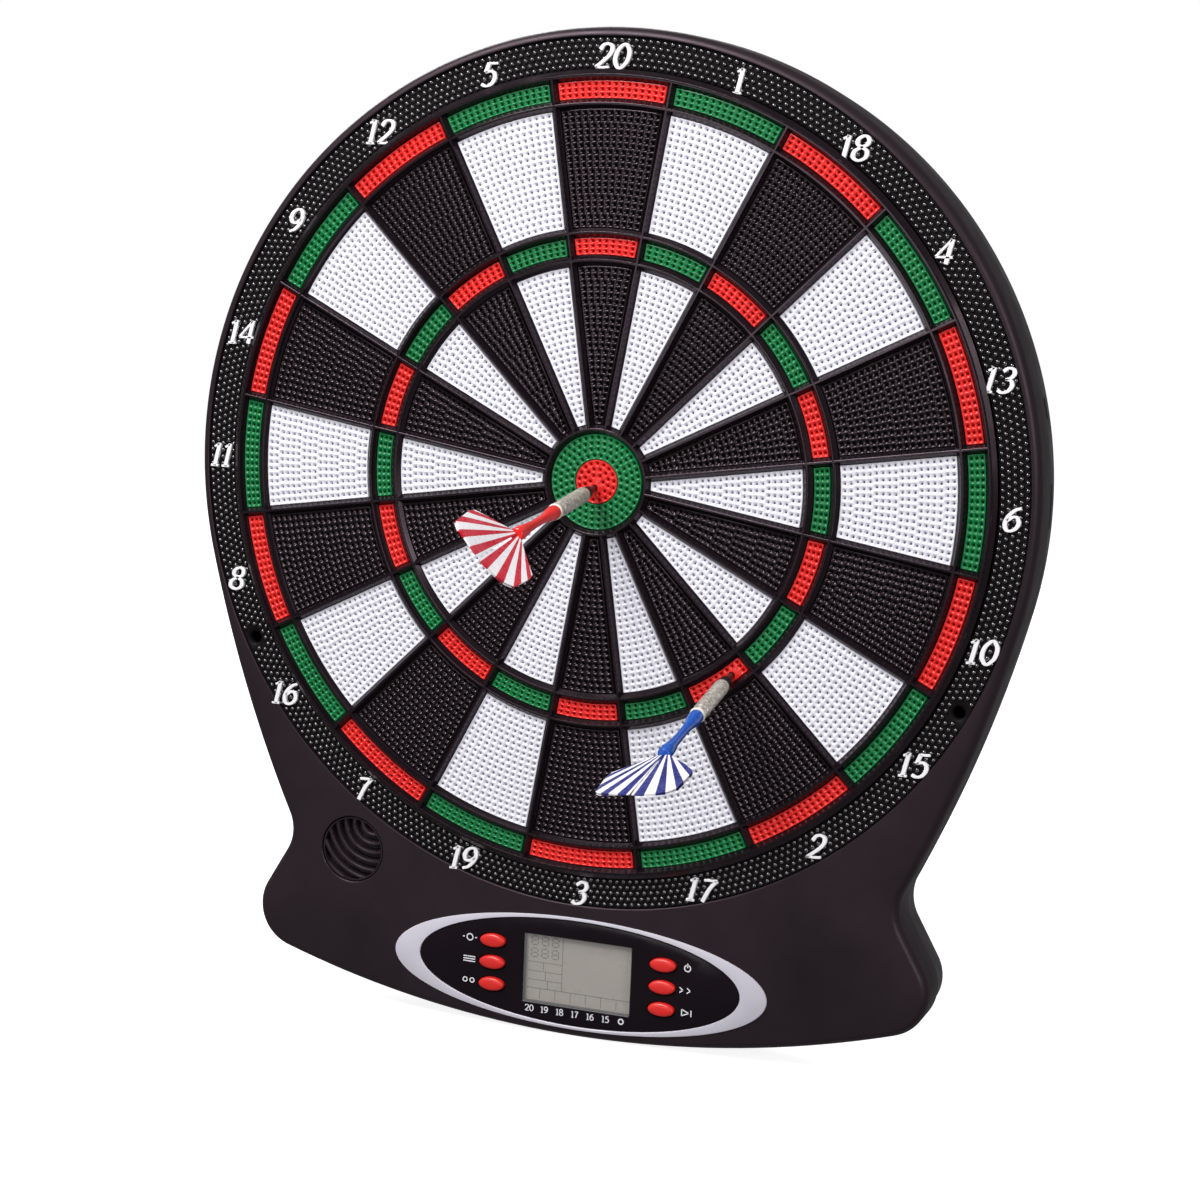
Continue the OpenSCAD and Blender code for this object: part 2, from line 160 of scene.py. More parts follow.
def outline(inset=0):
    """Outline of the whole board, drawn inset from its edge."""
    shoulder_c = (BODY_R - SHOULDER_R) * aim(SHOULDER_ANGLE)
    waist_c = shoulder_c + (SHOULDER_R + WAIST_R) * aim(WAIST_ANGLE)
    bottom_c = np.array([0, BOTTOM_R - DROP])
    foot_z = bottom_c[1] - math.sqrt((BOTTOM_R - FOOT_R) ** 2 - FOOT_X**2)
    foot_c = np.array([FOOT_X, foot_z])
    reach = waist_c - foot_c
    lean = bearing(reach) + math.degrees(math.acos((FOOT_R + WAIST_R) / np.linalg.norm(reach)))
    toe = bearing(foot_c - bottom_c)
    half = np.concatenate([
        (BODY_R - inset) * aim(np.linspace(0, SHOULDER_ANGLE, 105)),
        shoulder_c + (SHOULDER_R - inset) * aim(np.linspace(SHOULDER_ANGLE, WAIST_ANGLE, 15)[1:]),
        waist_c - (WAIST_R + inset) * aim(np.linspace(WAIST_ANGLE, lean, 12)[1:]),
        foot_c + (FOOT_R - inset) * aim(np.linspace(lean, toe, 22)),
        bottom_c + (BOTTOM_R - inset) * aim(np.linspace(toe, 180, 20)[1:]),
    ])
    mirrored = half[1:-1] * (-1, 1)
    return np.concatenate([half[::-1], mirrored])


# ---- Meshes ----

class Solid:
    """Points and faces of one closed piece, gathered loop by loop."""

    def __init__(self):
        self.points = []
        self.faces = []
        self.marks = []
        self.count = 0
        self.mark = 0

    def place(self, points):
        """Adds [x, y, z] points, and returns their numbers."""
        self.points.append(np.asarray(points, float))
        self.count += len(points)
        return np.arange(self.count - len(points), self.count)

    def loop(self, flat, depth):
        """Adds a loop of [x, z] points at a depth, and returns the numbers of its points."""
        flat = np.asarray(flat, float)
        depths = np.broadcast_to(np.asarray(depth, float), (len(flat),))
        return self.place(np.stack([flat[:, 0], -depths, flat[:, 1]], -1))

    def flat(self, numbers):
        """The [x, z] places of some points."""
        return np.concatenate(self.points)[numbers][:, [0, 2]]

    def add(self, faces):
        faces = [list(map(int, f)) for f in faces]
        self.faces.extend(faces)
        self.marks.extend([self.mark] * len(faces))

    def wall(self, near, far):
        """Side between two loops that run anticlockwise, the nearer one in front."""
        self.add(zip(near, far, np.roll(far, -1), np.roll(near, -1)))

    def skin(self, loops, outward=True):
        """Walls through a run of loops, from the back forwards. Returns the first and last loops."""
        for far, near in zip(loops, loops[1:]):
            self.wall(near, far) if outward else self.wall(far, near)
        return loops[0], loops[-1]

    def tower(self, profile, shape, outward=True):
        """Skin over shape(size) at each (size, depth), from the back forwards."""
        return self.skin([self.loop(shape(size), depth) for size, depth in profile], outward)

    def lid(self, number, front=True):
        self.add([number if front else number[::-1]])

    def cap(self, edge, holes=(), front=True):
        """Flat face inside a loop, less the holes."""
        loops = [edge, *holes]
        numbers = np.concatenate(loops)
        rings, start = [], 0
        for one in loops:
            rings.append(list(range(start, start + len(one))))
            start += len(one)
        flat = [Vector(p) for p in self.flat(numbers)]
        _, _, faces, origin, _, inside = delaunay_2d_cdt(flat, [], rings, 1, 1e-7)
        for face, owners in zip(faces, inside):
            if list(owners) == [0]:
                corners = [int(numbers[origin[v][0]]) for v in face]
                self.add([corners if front else corners[::-1]])

    def mesh(self, name):
        data = bpy.data.meshes.new(name)
        data.from_pydata((np.concatenate(self.points) * MM).tolist(), [], self.faces)
        data.polygons.foreach_set("material_index", self.marks)
        data.validate()
        return data


def put(name, data):
    """New object in the scene."""
    obj = bpy.data.objects.new(name, data)
    bpy.context.scene.collection.objects.link(obj)
    return obj


def piece(name, solid, materials, body="root", slot=None, smooth=35, place=None, stands_for=None, angle=0):
    """Named object of a solid, with its finish, tied to a body; the CAD node that it stands for is hidden.
    """
    data = solid.mesh(name)
    if angle:
        data.transform(Matrix.Rotation(math.radians(angle), 4, "Y"))
    obj = put(name, data)
    if place is not None:
        obj.matrix_world = place
    for m in materials if isinstance(materials, list) else [materials]:
        data.materials.append(m)
    data.shade_smooth()
    data.set_sharp_from_angle(angle=math.radians(smooth))
    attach(obj, body)
    if stands_for:
        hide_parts(stands_for)
    return obj


def lathe(profile, sides, ripple=None):
    """Turned solid about the -Y axis from (distance, radius) points, its two ends closed."""
    s = Solid()
    loops = []
    for far, r in profile:
        radii = r if ripple is None else r + ripple(far, np.arange(sides) / sides)
        loops.append(s.loop(circle(1, n=sides) * np.reshape(radii, (-1, 1)), far))
    rear, top = s.skin(loops)
    s.lid(rear, front=False)
    s.lid(top)
    return s


# ---- Materials ----

class Finish:
    """A node material in the making."""

    def __init__(self, name):
        self.material = bpy.data.materials.new(name)
        self.material.use_nodes = True
        self.tree = self.material.node_tree
        self.main = self.tree.nodes["Principled BSDF"].inputs
        self.link = self.tree.links.new

    def node(self, kind, **settings):
        n = self.tree.nodes.new(kind)
        for key, value in settings.items():
            if key in n.inputs:
                n.inputs[key].default_value = value
            else:
                setattr(n, key, value)
        return n

    def fix(self, **values):
        """Sets plain values on the main shader."""
        for key, value in values.items():
            self.main[key.replace("_", " ")].default_value = value

    def place(self):
        """The piece's own coordinates."""
        return self.node("ShaderNodeTexCoord").outputs["Object"]

    def noise(self, size, detail=3, stretch=(1, 1, 1)):
        """Noise of a given grain size in metres."""
        mapping = self.node("ShaderNodeMapping", Scale=stretch)
        self.link(self.place(), mapping.inputs["Vector"])
        grain = self.node("ShaderNodeTexNoise", Scale=1 / size, Detail=detail)
        self.link(mapping.outputs["Vector"], grain.inputs["Vector"])
        return grain.outputs["Fac"]

    def spread(self, value, low=0, high=1):
        """Maps noise from its middle range to low..high."""
        m = self.node("ShaderNodeMapRange")
        for socket, number in zip(("From Min", "From Max", "To Min", "To Max"), (0.3, 0.7, low, high)):
            m.inputs[socket].default_value = number
        self.link(value, m.inputs["Value"])
        return m.outputs["Result"]

    def blend(self, factor, a, b):
        """Mix of two colours, each a fixed colour or a socket."""
        mix = self.node("ShaderNodeMix", data_type="RGBA")
        self.link(factor, mix.inputs[0])
        for socket, colour in ((mix.inputs[6], a), (mix.inputs[7], b)):
            if isinstance(colour, tuple):
                socket.default_value = (*colour, 1)
            else:
                self.link(colour, socket)
        return mix.outputs[2]

    def calc(self, operation, *values):
        """A maths node fed with sockets or numbers."""
        n = self.node("ShaderNodeMath", operation=operation)
        for socket, value in zip(n.inputs, values):
            if isinstance(value, (int, float)):
                socket.default_value = value
            else:
                self.link(value, socket)
        return n.outputs[0]

    def surface(self, colour, rough):
        """Links the colour and the roughness."""
        self.link(colour, self.main["Base Color"])
        self.link(rough, self.main["Roughness"])

    def emboss(self, height, strength, depth):
        """Relief up to a depth in millimetres."""
        bump = self.node("ShaderNodeBump", Strength=strength, Distance=depth * MM)
        self.link(height, bump.inputs["Height"])
        self.link(bump.outputs["Normal"], self.main["Normal"])
        return self.material


def plastic(name, colour, rough, grain=0.0006, relief=0.01, mottle=0.03, shade=0.15, worn=0.08, **values):
    """Moulded plastic: fine grain in relief, slow changes of tone, and wear in the gloss."""
    f = Finish(name)
    f.fix(**values)
    dark = tuple(c * (1 - shade) for c in colour)
    light = tuple(min(1, c * (1 + shade)) for c in colour)
    f.surface(f.blend(f.spread(f.noise(mottle, 4)), dark, light),
              f.spread(f.noise(mottle * 0.35, 6), rough - worn, rough + worn))
    return f.emboss(f.noise(grain, 2), 0.6, relief)


def metal(name, colour, rough, stretch=(1, 1, 1), patch=0.006, dull=0.72, plated=1.0):
    """Plated metal with brushing or casting marks and dulled patches."""
    f = Finish(name)
    f.fix(Metallic=plated)
    f.surface(f.blend(f.spread(f.noise(patch, 5, stretch)), tuple(c * dull for c in colour), colour),
              f.spread(f.noise(0.002, 5, stretch), rough - 0.08, rough + 0.12))
    return f.emboss(f.noise(0.0006, 3, stretch), 0.5, 0.01)


def striped_film(name, stripe, stripe_pale):
    """Flight film: stripes that fan out from the end of the shaft, some of them faded."""
    f = Finish(name)
    split = f.node("ShaderNodeSeparateXYZ")
    f.link(f.place(), split.inputs[0])
    x, y, z = split.outputs
    out = f.calc("SQRT", f.calc("ADD", f.calc("MULTIPLY", x, x), f.calc("MULTIPLY", z, z)))
    along = f.calc("SUBTRACT", f.calc("MULTIPLY", y, -1.0), (FLIGHT_START - 6) * MM)
    wave = f.calc("SINE", f.calc("ADD", f.calc("MULTIPLY", f.calc("ARCTAN2", out, along), 34.0), -1.1))
    ink = f.spread(f.calc("ADD", f.calc("MULTIPLY", wave, 2.4), 0.30))
    printed = f.blend(f.spread(f.noise(0.012, 2)), stripe, stripe_pale)
    f.surface(f.blend(ink, (0.93, 0.90, 0.93), printed), f.spread(f.noise(0.004, 4), 0.2, 0.36))
    return f.emboss(f.noise(0.003, 2), 0.3, 0.05)


def fibre_board(name):
    """Pressed brown hardboard."""
    f = Finish(name)
    fibres = f.spread(f.noise(0.0012, 8, (1, 1, 3)))
    f.link(f.blend(fibres, (0.12, 0.06, 0.03), (0.26, 0.15, 0.08)), f.main["Base Color"])
    f.fix(Roughness=0.8)
    return f.emboss(fibres, 0.8, 0.1)


def circuit_board(name):
    """Green solder mask over branching tracks."""
    f = Finish(name)
    tracks = f.node("ShaderNodeTexBrick", Scale=260.0, offset=0.37, Color1=(0.01, 0.11, 0.035, 1),
                    Color2=(0.01, 0.13, 0.04, 1), Mortar=(0.03, 0.22, 0.07, 1))
    f.link(f.place(), tracks.inputs["Vector"])
    f.surface(tracks.outputs["Color"], f.spread(f.noise(0.004), 0.25, 0.4))
    return f.emboss(tracks.outputs["Fac"], 0.5, 0.04)


def clear_plastic(name):
    """Thin clear window with faint wiping marks."""
    f = Finish(name)
    f.fix(Base_Color=(0.55, 0.57, 0.57, 1), Alpha=0.12)
    f.link(f.spread(f.noise(0.006, 5), 0.03, 0.1), f.main["Roughness"])
    f.material.surface_render_method = "BLENDED"
    return f.material


def white_paper(name):
    """Pale floor paper, about as bright as the surroundings."""
    f = Finish(name)
    tone = f.blend(f.spread(f.noise(0.004, 4)), (0.58, 0.58, 0.58), (0.62, 0.62, 0.62))
    f.link(tone, f.main["Base Color"])
    f.fix(Roughness=0.9, Emission_Color=(1, 1, 1, 1), Emission_Strength=0.86)
    return f.material


INKY = (1.0, 0.76, 0.88, 1)
HOUSING = plastic("housing_black", (0.0135, 0.0088, 0.0115), 0.44, grain=0.0005, relief=0.05, shade=0.12,
                  worn=0.05, Specular_IOR_Level=0.36, Specular_Tint=INKY)
REAR = plastic("rear_black", (0.034, 0.025, 0.031), 0.38, relief=0.05, shade=0.12,
               Specular_IOR_Level=0.3)
JET = plastic("jet_ribs", (0.0065, 0.004, 0.0055), 0.2, grain=0.0007, relief=0.012, worn=0.06,
              Specular_IOR_Level=0.36, Specular_Tint=INKY)
STUDS = plastic("jet_studs", (0.005, 0.0032, 0.0042), 0.22, grain=0.0008, relief=0.006, worn=0.06,
                Specular_IOR_Level=0.9, Coat_Weight=1.0, Coat_Roughness=0.16, Coat_IOR=1.7)
RING_FLOOR = plastic("ring_floor", (0.005, 0.0035, 0.0045), 0.6, relief=0.03,
                     Specular_IOR_Level=0.1)
BLACK_SEG = plastic("segment_black", (0.0035, 0.0022, 0.0028), 0.17, worn=0.05,
                    Specular_IOR_Level=0.42, Specular_Tint=INKY)
WHITE_SEG = plastic("segment_white", (0.74, 0.73, 0.80), 0.36, relief=0.012, shade=0.02)
RED_SEG = plastic("segment_red", (0.70, 0.015, 0.012), 0.3, relief=0.012, shade=0.08)
GREEN_SEG = plastic("segment_green", (0.0, 0.155, 0.04), 0.28, relief=0.012, shade=0.08)
NUMERAL = plastic("numeral_white", (0.86, 0.84, 0.86), 0.45, grain=0.0004, relief=0.02, shade=0.03)
TRIM_PAINT = plastic("trim_silver", (0.56, 0.54, 0.61), 0.34, grain=0.0003, shade=0.03)
PANEL_BLACK = plastic("panel_black", (0.007, 0.004, 0.0065), 0.2, relief=0.006, worn=0.06,
                      Specular_IOR_Level=0.15)
PANEL_INK = plastic("panel_ink", (0.72, 0.72, 0.76), 0.5, grain=0.0002, shade=0.05)
BUTTON_RED = plastic("button_red", (0.66, 0.02, 0.016), 0.34, grain=0.0005, relief=0.015, shade=0.06)
LCD = plastic("lcd_grey", (0.345, 0.30, 0.26), 0.32, grain=0.001, relief=0.004, mottle=0.02, shade=0.06)
LCD_GHOST = plastic("lcd_ghost", (0.10, 0.095, 0.085), 0.35, grain=0.001, relief=0.004, mottle=0.004)
NYLON = plastic("tip_nylon", (0.009, 0.008, 0.009), 0.3, relief=0.015)
NICKEL = metal("barrel_nickel", (0.98, 0.90, 0.80), 0.36, patch=0.0012, dull=0.36, plated=0.62)
BRIGHT = plastic("barrel_collar", (0.80, 0.76, 0.66), 0.3, shade=0.04)
STEEL = metal("plated_steel", (0.60, 0.60, 0.58), 0.32, stretch=(1, 6, 1))
RED_SHAFT = plastic("shaft_red", (0.72, 0.02, 0.015), 0.2, grain=0.001, shade=0.05)
BLUE_SHAFT = plastic("shaft_blue", (0.012, 0.085, 0.42), 0.22, grain=0.001, shade=0.08)
RED_FILM = striped_film("flight_red", (0.58, 0.006, 0.022), (0.66, 0.06, 0.09))
BLUE_FILM = striped_film("flight_blue", (0.006, 0.012, 0.14), (0.05, 0.055, 0.26))
SILICONE = plastic("silicone", (0.72, 0.72, 0.70), 0.6, grain=0.0008, relief=0.03, shade=0.04)
FILM = plastic("switch_film", (0.60, 0.52, 0.32), 0.3, grain=0.002, shade=0.1)
LEAD = plastic("lead_red", (0.5, 0.02, 0.02), 0.45, grain=0.0004, relief=0.02)
CELL = plastic("cell_wrap", (0.05, 0.11, 0.36), 0.25, grain=0.0012, shade=0.2)
HARDBOARD = fibre_board("hardboard")
BOARD = circuit_board("circuit_board")
WINDOW = clear_plastic("display_clear")


# ---- Housing ----

RIM_SCREWS = [tuple(184.9 * aim(a)) for a in (0, 45, 90, 270, 315)]
LOW_SCREWS = [(side * x, z) for side in (1, -1) for x, z in ((134, -206), (84, -229), (148, -131))]


def tube(s, shape, faces, near, far):
    """Hole through a wall between two depths: adds its edges to the two lists of holes."""
    rim = s.loop(shape(-0.35), near)
    lip = s.loop(shape(0), near - math.copysign(0.35, near - far))
    end = s.loop(shape(0), far)
    s.skin([rim, lip, end], near > far)
    faces[0].append(rim)
    faces[1].append(end)


def front_housing():
    s = Solid()
    inner = FACE - 2.5
    edge = ((0, SEAM + 0.1), (0, 31.5), (0.4, 33.2), (1.3, 34.8), (2.4, 35.7), (3.4, FACE))
    back, face = s.tower(edge, outline)
    outer_holes, inner_holes = [], []
    shapes = (lambda i: circle(RIM_HOLE_R - i, n=240),
              lambda i: ellipse(PANEL[0] + 0.3 - i, PANEL[1] + 0.3 - i),
              lambda i: circle(SPEAKER_R + 0.5 - i, SPEAKER, 72))
    for shape in shapes:
        tube(s, shape, (outer_holes, inner_holes), FACE, inner)
    s.cap(face, outer_holes)
    inside = s.loop(outline(WALL), SEAM + 0.1)
    ceiling = s.loop(outline(WALL), inner)
    s.wall(inside, ceiling)
    s.cap(ceiling, inner_holes, front=False)
    s.cap(back, [inside], front=False)
    piece("housing_front", s, HOUSING, slot="housing", stands_for="front_housing")


def speaker_grille():
    """Round grille whose louvres ripple out from a point near its top."""
    s = Solid()
    rings, sides, pitch, blade_part = 74, 144, 4.15, 0.62
    loops = []
    for k in range(1, rings + 1):
        flat = circle(SPEAKER_R * k / rings, SPEAKER, sides)
        phase = (np.linalg.norm(flat - RIPPLE_C, axis=1) / pitch + 0.1) % 1
        blade = np.where(phase < blade_part, 0.9 + 0.55 * np.sin(math.pi * phase / blade_part), 0)
        edge = np.clip((blade_part - np.abs(phase - blade_part / 2) - blade_part / 2) * 9, 0, 1)
        height = np.minimum(FACE - 4.2 + (blade + 2.0) * edge, FACE - 0.2)
        if k >= rings - 3:
            height = FACE - 0.75
        loops.append(s.loop(flat, height))
    centre = s.loop([SPEAKER], FACE - 1.2)
    s.add([[centre[0], a, b] for a, b in zip(loops[0], np.roll(loops[0], -1))])
    rear = s.loop(circle(SPEAKER_R, SPEAKER, sides), FACE - 6)
    s.skin([*loops, rear], outward=False)
    s.lid(rear, front=False)
    piece("speaker_grille", s, HOUSING, slot="housing", smooth=50)


def keyhole(centre, grow):
    """Keyhole outline: a round entry with a narrow slot rising from it."""
    entry, slot, rise = 4.5 + grow, 2.2 + grow, 9
    lean = math.degrees(math.asin(slot / entry))
    low = entry * aim(np.linspace(lean, 360 - lean, 40))[::-1]
    top = (0, rise) + slot * aim(np.linspace(90, -90, 14))
    return np.array(centre) + np.concatenate([top, low])


def side_profile(z):
    """How far the rear cover's wall is sunk at a height: shallow slots along its two sides."""
    slots = ((38, 46), (-6, 10), (-42, -22), (-118, -104))
    return max(np.clip(min(z - a, b - z) / 0.8 + 0.5, 0, 1) for a, b in slots)


def rear_cover():
    s = Solid()
    depth = SEAM - 0.1
    sunk = np.array([side_profile(z) for z in outline()[:, 1]])

    def sunken(inset):
        return outline(inset) + sunk[:, None] * (outline(inset + 0.9) - outline(inset))

    steps = ((2.5, 0, outline), (2.05, 0.12, outline), (1.7, 0.4, outline), (REAR_INSET, 0.9, outline),
             (REAR_INSET, 5.4, outline), (REAR_INSET, 5.5, sunken),
             (REAR_INSET, 11.4, sunken), (REAR_INSET, 11.5, outline), (REAR_INSET, depth, outline))
    back, seam = s.skin([s.loop(shape(inset), d) for inset, d, shape in steps])
    outer_holes, inner_holes = [], []
    for centre in KEYHOLES:
        tube(s, lambda i, c=centre: keyhole(c, -i), (outer_holes, inner_holes), 0, WALL)
    for centre in RIM_SCREWS + LOW_SCREWS:
        outer_holes.append(pocket(s, lambda i, c=centre: circle(3.1 - i, c, 32), 8))
    for centre in LOW_SCREWS:
        inner_holes.append(boss(s, circle(4.2, centre, 32), depth))
    outer_holes.append(pocket(s, lambda i: battery_loop(-i), BATTERY_DEPTH))
    inner_holes.append(boss(s, battery_loop(2), BATTERY_DEPTH + 1.5))
    for centre in WALL_SCREWS:
        ends = ([], [])
        tube(s, lambda i, c=centre: circle(2.6 - i, c, 32), ends, 0, depth)
        sleeve = s.loop(circle(5, centre, 32), WALL)
        tip = s.loop(circle(5, centre, 32), depth)
        s.wall(tip, sleeve)
        s.cap(tip, ends[1])
        outer_holes += ends[0]
        inner_holes.append(sleeve)
    s.cap(back, outer_holes, front=False)
    inside = outline(REAR_INSET + WALL)
    gap = np.min([np.linalg.norm(inside - c, axis=1) for c in RIM_SCREWS], axis=0)
    inside = np.where(gap[:, None] < 6.6, outline(REAR_INSET + 8.4), inside)
    rim = s.loop(inside, depth)
    ground = s.loop(inside, WALL)
    s.wall(ground, rim)
    s.cap(ground, inner_holes)
    s.cap(seam, [rim])
    piece("housing_rear", s, REAR, slot="housing", stands_for="rear_cover")


def battery_loop(grow):
    return box_loop(-BATTERY_X - grow, BATTERY_X + grow, BATTERY_Z[0] - grow, BATTERY_Z[1] + grow)


def pocket(s, mouth, deep):
    """Blind pocket in the rear face. Returns its edge."""
    rim, end = s.tower(((-0.35, 0), (0, 0.35), (0, deep)), mouth, outward=False)
    s.cap(end, front=False)
    return rim


def boss(s, shape, reach):
    """Solid pillar that stands on the inside of the rear wall. Returns its foot."""
    foot = s.loop(shape, WALL)
    top = s.loop(shape, reach)
    s.wall(top, foot)
    s.cap(top)
    return foot


def case_screws():
    """Screw heads at the bottom of the rear pockets, each with a cross recess."""
    s = Solid()
    arm = np.array([(0.35, 1.6), (-0.35, 1.6), (-0.35, 0.35)])
    cross = np.concatenate([turn(arm, -90 * k) for k in range(4)])
    for centre in RIM_SCREWS + LOW_SCREWS:
        head = ((1.9, 6.35), (2.5, 6.6), (2.8, 7.1), (2.8, 7.9))
        rear, front = s.tower(head, lambda r: circle(r, centre, 24))
        cut, deep = s.tower(((1, 6.35), (0.75, 7.3)), lambda k: centre + cross * k, outward=False)
        s.cap(deep, front=False)
        s.cap(rear, [cut], front=False)
        neck, end = s.tower(((1.25, 7.9), (1.25, 26.3)), lambda r: circle(r, centre, 16))
        s.cap(front, [neck])
        s.lid(end)
    piece("case_screws", s, STEEL, slot="steel", stands_for="housing_screws")


def battery_door():
    """Door with rounded edges and grip ridges, on its two hinge pins."""
    lo, hi = (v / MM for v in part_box("battery_door"))
    back, front = -hi.y, -lo.y
    x, z0, z1 = BATTERY_X - 0.4, lo.z, hi.z

    def shape(i):
        return box_loop(-x + i, x - i, z0 + i, z1 - i, 0.9)

    s = Solid()
    rear, face = s.tower(((0.5, back), (0.1, back + 0.25), (0, back + 0.6), (0, front)), shape)
    s.cap(face)
    grips = []
    for k in range(7):
        z = z1 - 6 - 1.7 * k
        wide = 12 - 0.9 * abs(k - 3)
        mouth = s.loop(box_loop(-wide, wide, z - 0.45, z + 0.45, 0.4), back)
        deep = s.loop(box_loop(-wide + 0.2, wide - 0.2, z - 0.2, z + 0.2, 0.18), back + 0.7)
        s.wall(mouth, deep)
        s.cap(deep, front=False)
        grips.append(mouth)
    edge, ditch = s.tower(((3.2, back), (3.5, back + 0.35)), shape, outward=False)
    bank, inner = s.tower(((3.9, back + 0.35), (4.2, back)), shape, outward=False)
    s.cap(rear, [edge], front=False)
    s.cap(ditch, [bank], front=False)
    s.cap(inner, grips, front=False)
    piece("battery_door_panel", s, REAR, "battery_door", "housing")
    pins = Solid()
    for side in (-1, 1):
        rod = []
        for out, r in ((-2, 0.95), (0.8, 0.95), (1.0, 0.75)):
            flat = circle(r, (-1.2, z0 + 1), 20)
            rod.append(pins.place(np.insert(flat, 0, side * (x + out), axis=1)))
        pins.skin(rod, side < 0)
        pins.lid(rod[0], front=side > 0)
        pins.lid(rod[-1], front=side < 0)
    piece("battery_door_pins", pins, REAR, "battery_door", "housing",
          stands_for="battery_door")


# ---- Target ----

def wedge(r_in, r_out, inset=0, steps=10):
    """Outline of a segment at the top of the board, between two ribs."""
    sides = []
    for r in (r_out - inset, r_in + inset):
        half = SECTOR / 2 - math.degrees(math.asin((RIB_HALF + GAP + inset) / r))
        sides.append(r * aim(np.linspace(half, -half, steps + 1)))
    return np.concatenate([sides[0], sides[1][::-1]])


def hole_rows(r_in, r_out, rows, half_angle):
    """Centre, half width and half height of each hole, row by row. half_angle(r) is the row's half sweep."""
    pitch = (r_out - r_in) / rows
    for k in range(rows):
        r = r_in + pitch * (k + 0.5)
        half = half_angle(r)
        arc = 2 * math.radians(half) * r
        n = max(1, round(arc / HOLE_PITCH))
        tall = 0.445 * pitch
        wide = 0.445 * arc / n * (1 - 0.8 * tall / r)
        for j in range(n):
            yield r, half * (2 * (j + 0.5) / n - 1), wide, tall


def wedge_holes(ring):
    r_in, r_out = RINGS[ring]
    return list(hole_rows(r_in + 0.25, r_out - 0.25, RING_ROWS[ring],
                          lambda r: SECTOR / 2 - math.degrees(math.asin((RIB_HALF + GAP + 0.25) / r))))


HOLE_SIDES = 12
FUNNEL = ((1.0, 0), (0.88, 0.08), (0.70, 0.27), (None, 0.7), (None, 4.5))
HOLE_R = 0.5
BORE_R = 1.45


def funnel(s, r, angle, wide, tall):
    """Adds a square-mouthed funnel that narrows to a round hole. Returns its mouth."""
    spin = aim(-np.arange(HOLE_SIDES) * 360 / HOLE_SIDES)
    squarish = spin / (np.abs(spin) ** 4).sum(1, keepdims=True) ** 0.25
    loops = []
    for scale, sink in FUNNEL:
        flat = spin * HOLE_R if scale is None else squarish * (wide * scale, tall * scale)
        loops.append(s.loop(turn(flat + (0, r), angle), SEGMENT_TOP - sink))
    mouth, end = s.skin(loops)
    s.lid(end)
    return mouth


def perforate(s, holes, tip):
    """Sinks the holes and, in place of those it would cut, the bore of a dart's tip. Returns the mouths."""
    mouths = []
    for r, angle, wide, tall in holes:
        if tip is not None:
            away = np.abs(turn(np.array([tip]), -angle)[0] - (0, r)) - (wide, tall)
            if math.hypot(*np.maximum(away, 0)) < BORE_R + 0.15:
                continue
        mouths.append(funnel(s, r, angle, wide, tall))
    if tip is not None:
        narrow = BORE_R - 0.1
        bore = ((BORE_R, SEGMENT_TOP), (narrow, SEGMENT_TOP - 0.2), (narrow, SEGMENT_TOP - 8.5))
        mouth, end = s.tower(bore, lambda radius: circle(radius, tip, 16))
        s.lid(end)
        mouths.append(mouth)
    return mouths


def segment(ring, tip=None):
    """One perforated segment, drawn at the top of the board."""
    s = Solid()
    r_in, r_out = RINGS[ring]
    profile = ((0, 24.3), (0, SEGMENT_TOP - 0.25), (0.08, SEGMENT_TOP - 0.07), (0.25, SEGMENT_TOP))
    back, face = s.tower(profile, lambda inset: wedge(r_in, r_out, inset))
    s.cap(back, front=False)
    s.cap(face, perforate(s, wedge_holes(ring), tip))
    return s


def target_segments():
    """Four segments for each number, copied round the board."""
    patterns = [segment(ring) for ring in range(len(RINGS))]
    tip = DARTS["blue"][0]
    home = NUMBERS.index(2)
    names = ("inner_single", "triple", "outer_single", "double")
    finishes = ((BLACK_SEG, "black_segment"), (RED_SEG, "red_segment"),
                (WHITE_SEG, "white_segment"), (GREEN_SEG, "green_segment"))
    for k, number in enumerate(NUMBERS):
        body = f"sector_{number:02d}"
        for ring, pattern in enumerate(patterns):
            if k == home and ring == 1:
                pattern = segment(ring, tuple(turn(np.array([tip]), -SECTOR * k)[0]))
            finish, slot = finishes[2 * (k % 2) + ring % 2]
            piece(f"{names[ring]}_{number:02d}", pattern, finish, body, slot, smooth=40,
                  stands_for=None if ring else body, angle=SECTOR * k)


def bull(name, r_in, r_out, rows, material, slot, tip=None):
    """Round segment of the bull, with holes on full circles."""
    s = Solid()
    edge = ((0, 24.3), (0, SEGMENT_TOP - 0.25), (0.25, SEGMENT_TOP))
    back, face = s.tower(edge, lambda i: circle(r_out - i, n=120))
    holes = list(hole_rows(max(r_in, 1.4) + 0.25, r_out - 0.25, rows, lambda r: 180))
    rears, fronts = [], []
    if r_in:
        rear, front = s.tower(edge, lambda i: circle(r_in + i, n=120), outward=False)
        rears.append(rear)
        fronts.append(front)
    else:
        holes.append((0, 0, 1.15, 1.15))
    s.cap(back, rears, front=False)
    s.cap(face, fronts + perforate(s, holes, tip))
    piece(name + "_segment", s, material, name, slot, smooth=40, stands_for=name)


ARC_STEPS = 12


